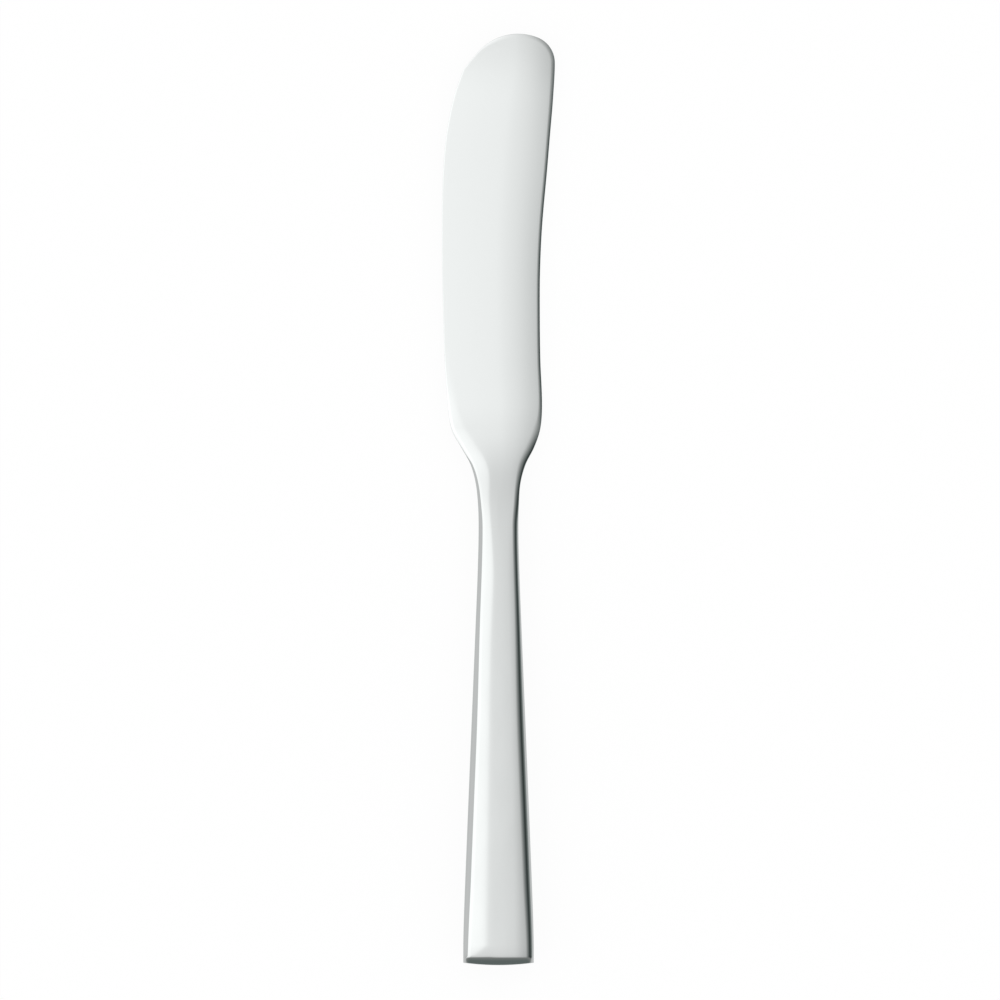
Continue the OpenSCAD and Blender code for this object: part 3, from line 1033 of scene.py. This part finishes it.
@dataclass
class HalfShell:
    """One stamped half of the hollow handle: an outer and an inner tray, joined along the seam."""

    section: Section
    side: Side
    end_rows: int = 16
    end_corner_rows: int = 5
    handle_rows: int = 130
    row_crowding: float = 1.15
    corner_columns: int = 5
    bevel_columns: int = 14
    face_columns: int = 30
    column_crowding: float = 1.1
    wear_reach: float = 0.5

    @property
    def node(self) -> str:
        """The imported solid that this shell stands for."""
        return "handle_front_shell" if self.side is Side.FRONT else "handle_back_shell"

    def gaps(self, y: np.ndarray) -> np.ndarray:
        """The columns' distances from the left side: rounded corner, bevel, face, bevel, corner.

        Args:
            y: places along the handle, one for each row.

        Returns:
            The distances, rows by columns.
        """
        section = self.section
        whole, width = 2 * section.plan.handle_half(y)[:, None], section.handle_bevel(y)[0]
        band = band_gaps(section.corner_radius(y), width, self.corner_columns, self.bevel_columns,
                         self.column_crowding)
        width = width[:, None]
        face = mix(width, whole - width, np.linspace(0.0, 1.0, self.face_columns + 1)[None, 1:-1])
        return np.concatenate([band, face, whole - band[:, ::-1]], axis=1)

    def outer_rows(self) -> tuple[np.ndarray, np.ndarray]:
        """Where the outer tray's rows stand.

        Returns:
            How far each row has come over the end bevel, from 0 to 1, and its place along the handle.
        """
        section = self.section
        radius = section.handle_round / section.end_bevel
        over_end = np.concatenate([radius * quarter_steps(self.end_corner_rows),
                                   np.linspace(radius, 1.0, self.end_rows + 1)[1:],
                                   np.ones(self.handle_rows)])
        along = np.linspace(0.0, 1.0, self.handle_rows + 1)[1:] ** self.row_crowding
        y = over_end * section.end_bevel
        y[-self.handle_rows:] = mix(section.end_bevel, section.joint_y, along)
        return over_end[:, None], y[:, None]

    def outer_sheet(self) -> tuple[np.ndarray, np.ndarray, np.ndarray, np.ndarray]:
        """The outer tray, above or below the middle plane.

        Along the handle the half thickness is the crowned face less the side bevel still to fall.
        Near the end the face falls softly. Across the end, the end bevel is taken off all of the
        section, from a straight line to the bowed end, and as steeply at the corners.

        Returns:
            x, y, half thickness and wear, each rows by columns.
        """
        section = self.section
        over_end, row = self.outer_rows()
        from_left = self.gaps(row[:, 0])
        half_width = section.plan.handle_half(row)
        u = from_left / 2 / half_width
        end_y = section.end_bow * (2 * u - 1) ** 2
        y = np.where(over_end < 1, mix(end_y, section.end_bevel, over_end), row)
        gap = np.minimum(from_left, 2 * half_width - from_left)
        width, depth = section.handle_bevel(row)
        depth = depth * mix(section.end_corner_share, 1.0, over_end)
        half = section.handle_face(u, y, half_width)
        half = half - depth * section.fallen(gap, width, section.side_roll)
        half = half - edge_round(gap, section.handle_round)
        half = half - section.end_fall * section.fallen(
            y - section.end_bevel, section.end_fall_length, section.end_fall_power)
        steady = section.end_bevel_depth * (1 - end_y / section.end_bevel)
        half = half - steady * (1 - over_end) ** section.end_roll
        half = half - edge_round(over_end * section.end_bevel, section.handle_round)
        worn = np.maximum(ease(1 - gap / self.wear_reach),
                          ease(1 - over_end * section.end_bevel / self.wear_reach))
        return from_left - half_width, y, half, worn

    def inner_sheet(self, u: np.ndarray) -> tuple[np.ndarray, np.ndarray, np.ndarray]:
        """The inner tray: the same section drawn in by the wall, with as many rows and columns.

        Args:
            u: the outer tray's shares across, rows by columns.

        Returns:
            x, y and half thickness, each rows by columns.
        """
        section = self.section
        y = np.linspace(section.end_bevel + section.shell_wall, section.joint_y, len(u))[:, None]
        outer_half = section.plan.handle_half(y)
        inner_half = outer_half - section.shell_wall
        height = section.handle_face(u, y, outer_half) - section.shell_wall
        width, depth = section.handle_bevel(y)
        low = np.maximum(height - depth, section.hollow_side_share * height)
        gap = (1 - np.abs(2 * u - 1)) * inner_half
        fall = section.fallen(gap, width, section.side_roll)
        return (2 * u - 1) * inner_half, np.broadcast_to(y, u.shape), height - (height - low) * fall

    def to_seam(self, x: np.ndarray, y: np.ndarray, half: np.ndarray) -> np.ndarray:
        """A tray's points, with one more row at the end and a column on each side down at the seam.

        Args:
            x: places across, rows by columns.
            y: places along.
            half: half the thickness.

        Returns:
            The points, in metres.
        """
        x, y = (np.pad(values, SEAM_PAD, mode="edge") for values in (x, y))
        half = np.pad(half, SEAM_PAD, constant_values=self.section.braze_gap / 2)
        return self.section.placed(x, y, self.side.value * half)

    def build(self) -> bpy.types.Object:
        """Builds the half shell as two trays about its wall, closed along the seam and at the neck.

        Returns:
            The shell.
        """
        x, y, half, worn = self.outer_sheet()
        u = self.gaps(np.minimum(y[:, 0], self.section.joint_y))
        u = u / u[:, -1:]
        inner = self.to_seam(*self.inner_sheet(u))
        points, quads = closed_sheets(self.to_seam(x, y, half), inner)
        worn = np.pad(worn, SEAM_PAD, mode="edge")
        wear = np.concatenate([worn.ravel(), np.zeros(worn.size)])
        piece = make_piece(f"butter_knife_{self.node}", points, quads, wear)
        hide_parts(self.node)
        return piece

    def dress(self, piece: bpy.types.Object) -> None:
        """Gives the shell its polish."""
        finish = PolishedSteel(name=f"polished_steel_{self.side.name.lower()}")
        piece.data.materials.append(finish.material())


@dataclass
class Braze:
    """The silver that joins the half shells along the seam, and the handle to the neck."""

    section: Section
    side_rows: int = 120
    end_rows: int = 40

    def seam_ribbon(self) -> tuple[np.ndarray, np.ndarray]:
        """The flat ribbon in the seam: down the left side, across the end and up the right side.

        Returns:
            Its points and quads.
        """
        section, plan = self.section, self.section.plan
        wall, inner_end = section.shell_wall, section.end_bevel + section.shell_wall
        down = np.linspace(0.0, 1.0, self.side_rows)
        out_y, in_y = (mix(section.joint_y, end, down) for end in (section.end_bow, inner_end))
        out_x, in_x = plan.handle_half(out_y), plan.handle_half(in_y) - wall
        across = np.linspace(-1.0, 1.0, self.end_rows + 2)[1:-1]
        corner = plan.handle_half(0.0)
        x = np.stack([np.concatenate([-out_x, across * corner, out_x[::-1]]),
                      np.concatenate([-in_x, across * (corner - wall), in_x[::-1]])], axis=1)
        y = np.stack([np.concatenate([out_y, section.end_bow * across ** 2, out_y[::-1]]),
                      np.concatenate([in_y, np.full(len(across), inner_end), in_y[::-1]])], axis=1)
        half = section.braze_gap / 2
        return closed_sheets(section.placed(x, y, half), section.placed(x, y, -half))

    def neck_washer(self) -> tuple[np.ndarray, np.ndarray]:
        """The washer between shells and neck: the shells' own section, as thick as the braze.

        Returns:
            Its points and quads.
        """
        section, plan = self.section, self.section.plan
        columns = HalfShell(section, Side.FRONT).gaps(np.array([section.joint_y]))[0]
        u = columns / columns[-1]
        y = np.array([section.joint_y, plan.handle_length])[:, None]
        whole = plan.handle_half(y)
        width, depth = section.handle_bevel(y)
        loops = []
        for wall, radius in ((0.0, section.handle_round), (section.shell_wall, 0.0)):
            half = whole - wall
            gap = (1 - np.abs(2 * u - 1)) * half
            height = section.handle_face(u, y, whole) - wall
            height = height - depth * section.fallen(gap, width, section.side_roll)
            height = height - edge_round(gap, radius)
            x = (2 * u - 1) * half
            front, back = section.placed(x, y, height), section.placed(x, y, -height)
            loops.append(np.concatenate([front, back[:, ::-1]], axis=1))
        outer, inner = loops
        return closed_ring(np.stack([outer[0], outer[1], inner[1], inner[0]]))

    def build(self) -> bpy.types.Object:
        """Builds the ribbon and the washer as one piece.

        Returns:
            The braze.
        """
        ribbon, ribbon_quads = self.seam_ribbon()
        washer, washer_quads = self.neck_washer()
        points = np.concatenate([ribbon, washer])
        quads = np.concatenate([ribbon_quads, washer_quads + len(ribbon)])
        piece = make_piece("butter_knife_braze", points, quads, np.zeros(len(points)))
        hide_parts("handle_braze")
        return piece

    def dress(self, piece: bpy.types.Object) -> None:
        """Gives the braze its silver."""
        piece.data.materials.append(SilverBraze().material())


@dataclass
class Cement:
    """The cement inside the handle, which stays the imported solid."""

    node: str = "handle_cement"

    def build(self) -> bpy.types.Object:
        """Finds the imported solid."""
        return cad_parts[self.node]

    def dress(self, piece: bpy.types.Object) -> None:
        """Gives the cement its sandy grey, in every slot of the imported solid.

        Args:
            piece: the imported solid.
        """
        made = CementFill().material()
        if not piece.material_slots:
            piece.data.materials.append(made)
        for slot in piece.material_slots:
            slot.material = made


@dataclass
class Studio:
    """A pale floor, a plain pale world, a light tent that metal reflects, and the camera.

    Lengths are in metres here, and angles in degrees. Heights of the horizon are shares of the
    tent's radius, and glows and greys are parts of white.
    """

    floor_reach: float = 3.0
    floor_drop: float = 0.02 * MM
    floor_grey: float = 0.98
    floor_lift: float = 0.92
    world_grey: float = 1.0
    picture_width: float = 0.1825
    picture_centre: Span = (0.00027, -0.00009)
    camera_height: float = 0.6
    tent_radius: float = 12.0
    tent_overhang: float = 0.02  # radians under the horizon
    tent_rings: int = 48
    tent_spokes: int = 96
    tent_power: float = 1.3
    tent_gain: float = 1.07
    card_skew: float = 0.55
    card_skew_from: float = 3.0
    card_reach: Span = (26.0, 42.0)
    beyond_card: float = 0.44
    horizon_height: Span = (0.4, 0.29)
    horizon_glow: float = 0.6
    # the tent's glow: an angle from straight up, and there a grey, or red, green and blue
    across: Table = (
        (-90, 0.66), (-60, 0.62), (-37.5, 0.6), (-34, 1.22), (-12, 1.22), (-9, 1.17), (-7, 1.15),
        (-6.1, 1.13), (-5.2, 1.1), (-4.5, 1.055), (-4.1, 0.97), (-3.7, 0.91), (-2.7, 0.875),
        (-1.7, 0.86), (0, 0.85), (2.2, 0.835), (3.6, 0.812), (4.6, 0.8), (5.8, 0.785), (6.6, 0.735),
        (7.4, 0.7), (8.1, 0.625, 0.63, 0.628), (12.3, 0.45, 0.455, 0.453), (21, 0.27, 0.28, 0.275),
        (31, 0.15, 0.165, 0.163), (44, 0.036, 0.046, 0.044), (54, 0.06, 0.072, 0.068),
        (63, 0.19, 0.215, 0.21), (76, 0.31, 0.335, 0.33), (90, 0.42, 0.44, 0.435))
    along: Table = (
        (-90, 0.28, 0.33, 0.32), (-56, 0.28, 0.33, 0.32), (-46, 0.45, 0.47, 0.46), (-32, 0.6),
        (-22, 0.8), (-12, 0.86), (-6, 0.95), (0, 1.0), (5, 1.0), (9, 0.99), (14, 0.97), (20, 0.91),
        (30, 0.78), (60, 0.74), (90, 0.7))

    def floor(self) -> bpy.types.Object:
        """A large pale floor, just under the knife, which keeps a light shadow.

        The camera, metal and glass see it lifted towards white, and diffuse light meets it plain.

        Returns:
            The floor.
        """
        r, z = self.floor_reach, -self.floor_drop
        mesh = bpy.data.meshes.new("floor")
        mesh.from_pydata([(-r, -r, z), (r, -r, z), (r, r, z), (-r, r, z)], [], [(0, 1, 2, 3)])
        made, nodes = new_material("pale_floor")
        diffuse = nodes.add("ShaderNodeBsdfDiffuse", {"Color": rgba(grey(self.floor_grey))})
        white = nodes.add("ShaderNodeEmission", {"Strength": 1.0})
        rays = nodes.add("ShaderNodeLightPath").outputs
        seen = nodes.maths("MAXIMUM", rays["Is Camera Ray"], rays["Is Glossy Ray"])
        seen = nodes.maths("MAXIMUM", seen, rays["Is Transmission Ray"])
        nodes.surface(nodes.add("ShaderNodeMixShader", {
            0: nodes.maths("MULTIPLY", seen, self.floor_lift), 1: diffuse.outputs[0],
            2: white.outputs[0]}))
        mesh.materials.append(made)
        return linked("floor", mesh)

    def ramp(self, nodes: Nodes, value: Socket, stops: Table) -> Socket:
        """A colour ramp over angles from -90 to 90 degrees.

        Its colours are shared out of tent_power, since a ramp holds none above 1.

        Args:
            nodes: the tree to build in.
            value: the angle, in radians.
            stops: rows of an angle in degrees and a grey, or red, green and blue.

        Returns:
            The colour.
        """
        share = nodes.between(value, -math.pi / 2, math.pi / 2)
        node = nodes.add("ShaderNodeValToRGB", {0: share})
        elements = node.color_ramp.elements
        while len(elements) < len(stops):
            elements.new(0.5)  # each is moved to its own place below
        for element, (angle, *glow) in zip(elements, stops):
            # a single value is a grey, and stands for all three colours
            element.position = (angle + RIGHT_ANGLE) / (2 * RIGHT_ANGLE)
            element.color = rgba(tuple(c / self.tent_power for c in (glow * 3)[:3]))
        return node.outputs[0]

    def dome(self) -> bpy.types.Object:
        """The tent's dome: circles of spokes from straight up to a little under the horizon.

        A point is the radius times the sine of its angle from straight up, turned about the upright
        axis, and as high as the radius times the cosine.

        Returns:
            The dome.
        """
        polar = np.linspace(0.0, math.pi / 2 + self.tent_overhang, self.tent_rings)[:, None]
        turn = np.linspace(0.0, 2 * math.pi, self.tent_spokes + 1)[None, :]
        x, y, z = np.broadcast_arrays(np.sin(polar) * np.cos(turn), np.sin(polar) * np.sin(turn),
                                      np.cos(polar))
        grid = np.arange(x.size).reshape(x.shape)
        quads = np.stack([grid[:-1, :-1], grid[1:, :-1], grid[1:, 1:], grid[:-1, 1:]], axis=-1)
        points = np.stack([x, y, z], axis=-1).reshape(-1, 3) * self.tent_radius
        return make_piece("light_tent", points, quads.reshape(-1, 4), np.zeros(len(points)))

    def tent(self) -> bpy.types.Object:
        """The light tent: a far dome that only reflections see, bright on the left, dark on the right.

        Its glow is one ramp over the angle across the knife times one over the angle along it. The
        cards on the left stand askew towards the end of the handle. Far along the knife the cards
        end, and down at the horizon all is one plain grey.

        Returns:
            The dome, with its glow.
        """
        dome, power = self.dome(), self.tent_power
        made, nodes = new_material("tent_glow")
        directions = nodes.add("ShaderNodeSeparateXYZ", {0: nodes.place()}).outputs
        over_x, over_y, height = (nodes.maths("DIVIDE", part, self.tent_radius) for part in directions)
        tilt_x, tilt_y = nodes.maths("ARCSINE", over_x), nodes.maths("ARCSINE", over_y)
        below = nodes.maths("MULTIPLY", nodes.maths("MINIMUM", tilt_y, 0.0), self.card_skew)
        left = nodes.between(tilt_x, 0.0, -math.radians(self.card_skew_from))
        tilt_x = nodes.maths("SUBTRACT", tilt_x, nodes.maths("MULTIPLY", below, left))
        across, along = self.ramp(nodes, tilt_x, self.across), self.ramp(nodes, tilt_y, self.along)
        start, stop = (math.radians(angle) for angle in self.card_reach)
        far = nodes.between(nodes.maths("ABSOLUTE", tilt_y), start, stop)
        across = nodes.tinted(far, across, rgba(grey(self.beyond_card / power)))
        glow = nodes.tinted(1.0, across, along, blend_type="MULTIPLY")
        glow = nodes.tinted(nodes.between(height, *self.horizon_height), glow,
                            rgba(grey(self.horizon_glow / power / power)))
        nodes.surface(nodes.add("ShaderNodeEmission", {
            "Color": glow, "Strength": self.tent_gain * power * power}))
        made.cycles.emission_sampling = "NONE"
        dome.data.materials.append(made)
        dome.visible_camera = dome.visible_diffuse = dome.visible_shadow = False
        dome.visible_transmission = dome.visible_volume_scatter = False
        return dome

    def world(self) -> None:
        """A plain pale world, which lights the floor evenly and stands behind it."""
        world = bpy.context.scene.world or bpy.data.worlds.new("studio")
        bpy.context.scene.world = world
        world.use_nodes = True
        nodes = Nodes(world.node_tree)
        shader = nodes.add("ShaderNodeBackground", {"Color": rgba(grey(self.world_grey)),
                                                    "Strength": 1.0})
        nodes.surface(shader, "ShaderNodeOutputWorld")

    def camera(self) -> None:
        """A camera straight above the knife, without perspective, as the photograph has it."""
        data = bpy.data.cameras.new("camera")
        data.type = "ORTHO"
        data.ortho_scale = self.picture_width
        camera = linked("camera", data)
        camera.location = (*self.picture_centre, self.camera_height)
        bpy.context.scene.camera = camera

    def build(self) -> None:
        """Sets up floor, tent, world, camera and colour."""
        self.floor()
        self.tent()
        self.world()
        self.camera()
        bpy.context.scene.view_settings.view_transform = "Standard"


def main() -> None:
    """Builds the knife's pieces in order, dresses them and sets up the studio."""
    logging.basicConfig(level=logging.INFO, format="%(name)s: %(message)s")
    section = Section()
    for part in (Blade(section), HalfShell(section, Side.FRONT), HalfShell(section, Side.BACK),
                 Braze(section), Cement()):
        piece = part.build()
        part.dress(piece)
        if piece.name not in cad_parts:
            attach(piece, "root")
        log.info("%s: %d faces", piece.name, len(piece.data.polygons))
    Studio().build()


if __name__ == "__main__":
    main()
